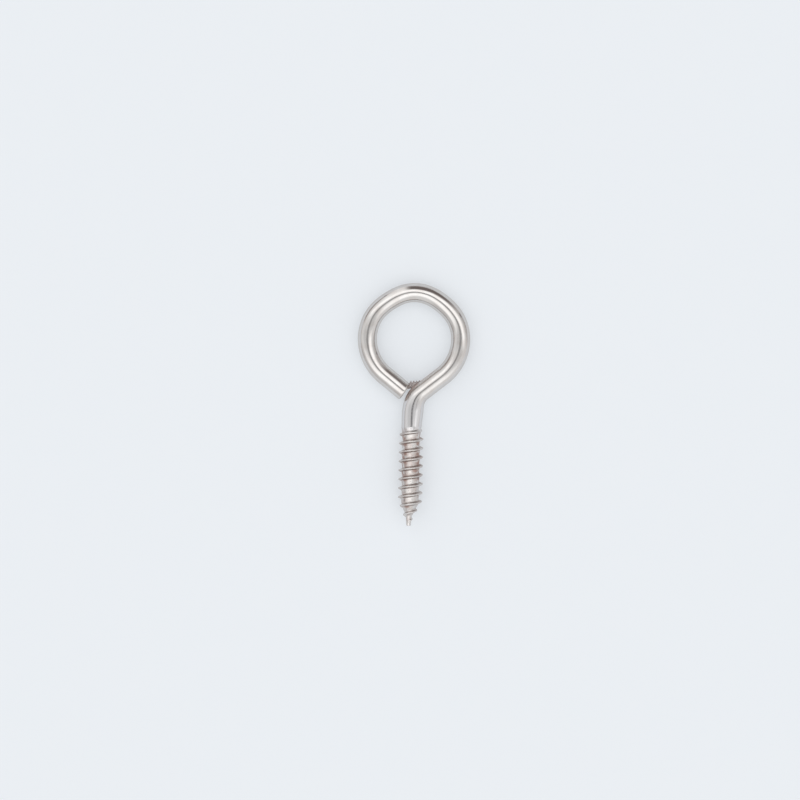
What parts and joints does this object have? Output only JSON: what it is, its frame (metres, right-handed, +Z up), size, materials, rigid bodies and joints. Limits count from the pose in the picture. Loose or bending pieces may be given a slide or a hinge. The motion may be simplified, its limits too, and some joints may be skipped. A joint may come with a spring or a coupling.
{
  "type": "screw eye",
  "caption": "Closed wire eye on a wood screw: a round eye whose cut end meets a bent neck, a short plain shank, a tapered right-hand wood thread and a blunt nib.",
  "frame": {"origin": "middle of the bounding box in plan, on the surface that the part lies on", "axes": "+Y along the shank from the nib towards the eye, +Z up, square to the plane of the eye, +X across the eye, away from its cut end"},
  "size_m": [0.0234, 0.0508, 0.0052],
  "materials": {
    "nickel_plate": "gloss"
  },
  "bodies": {
    "root": {"screw_eye": "nickel_plate"}
  },
  "joints": []
}
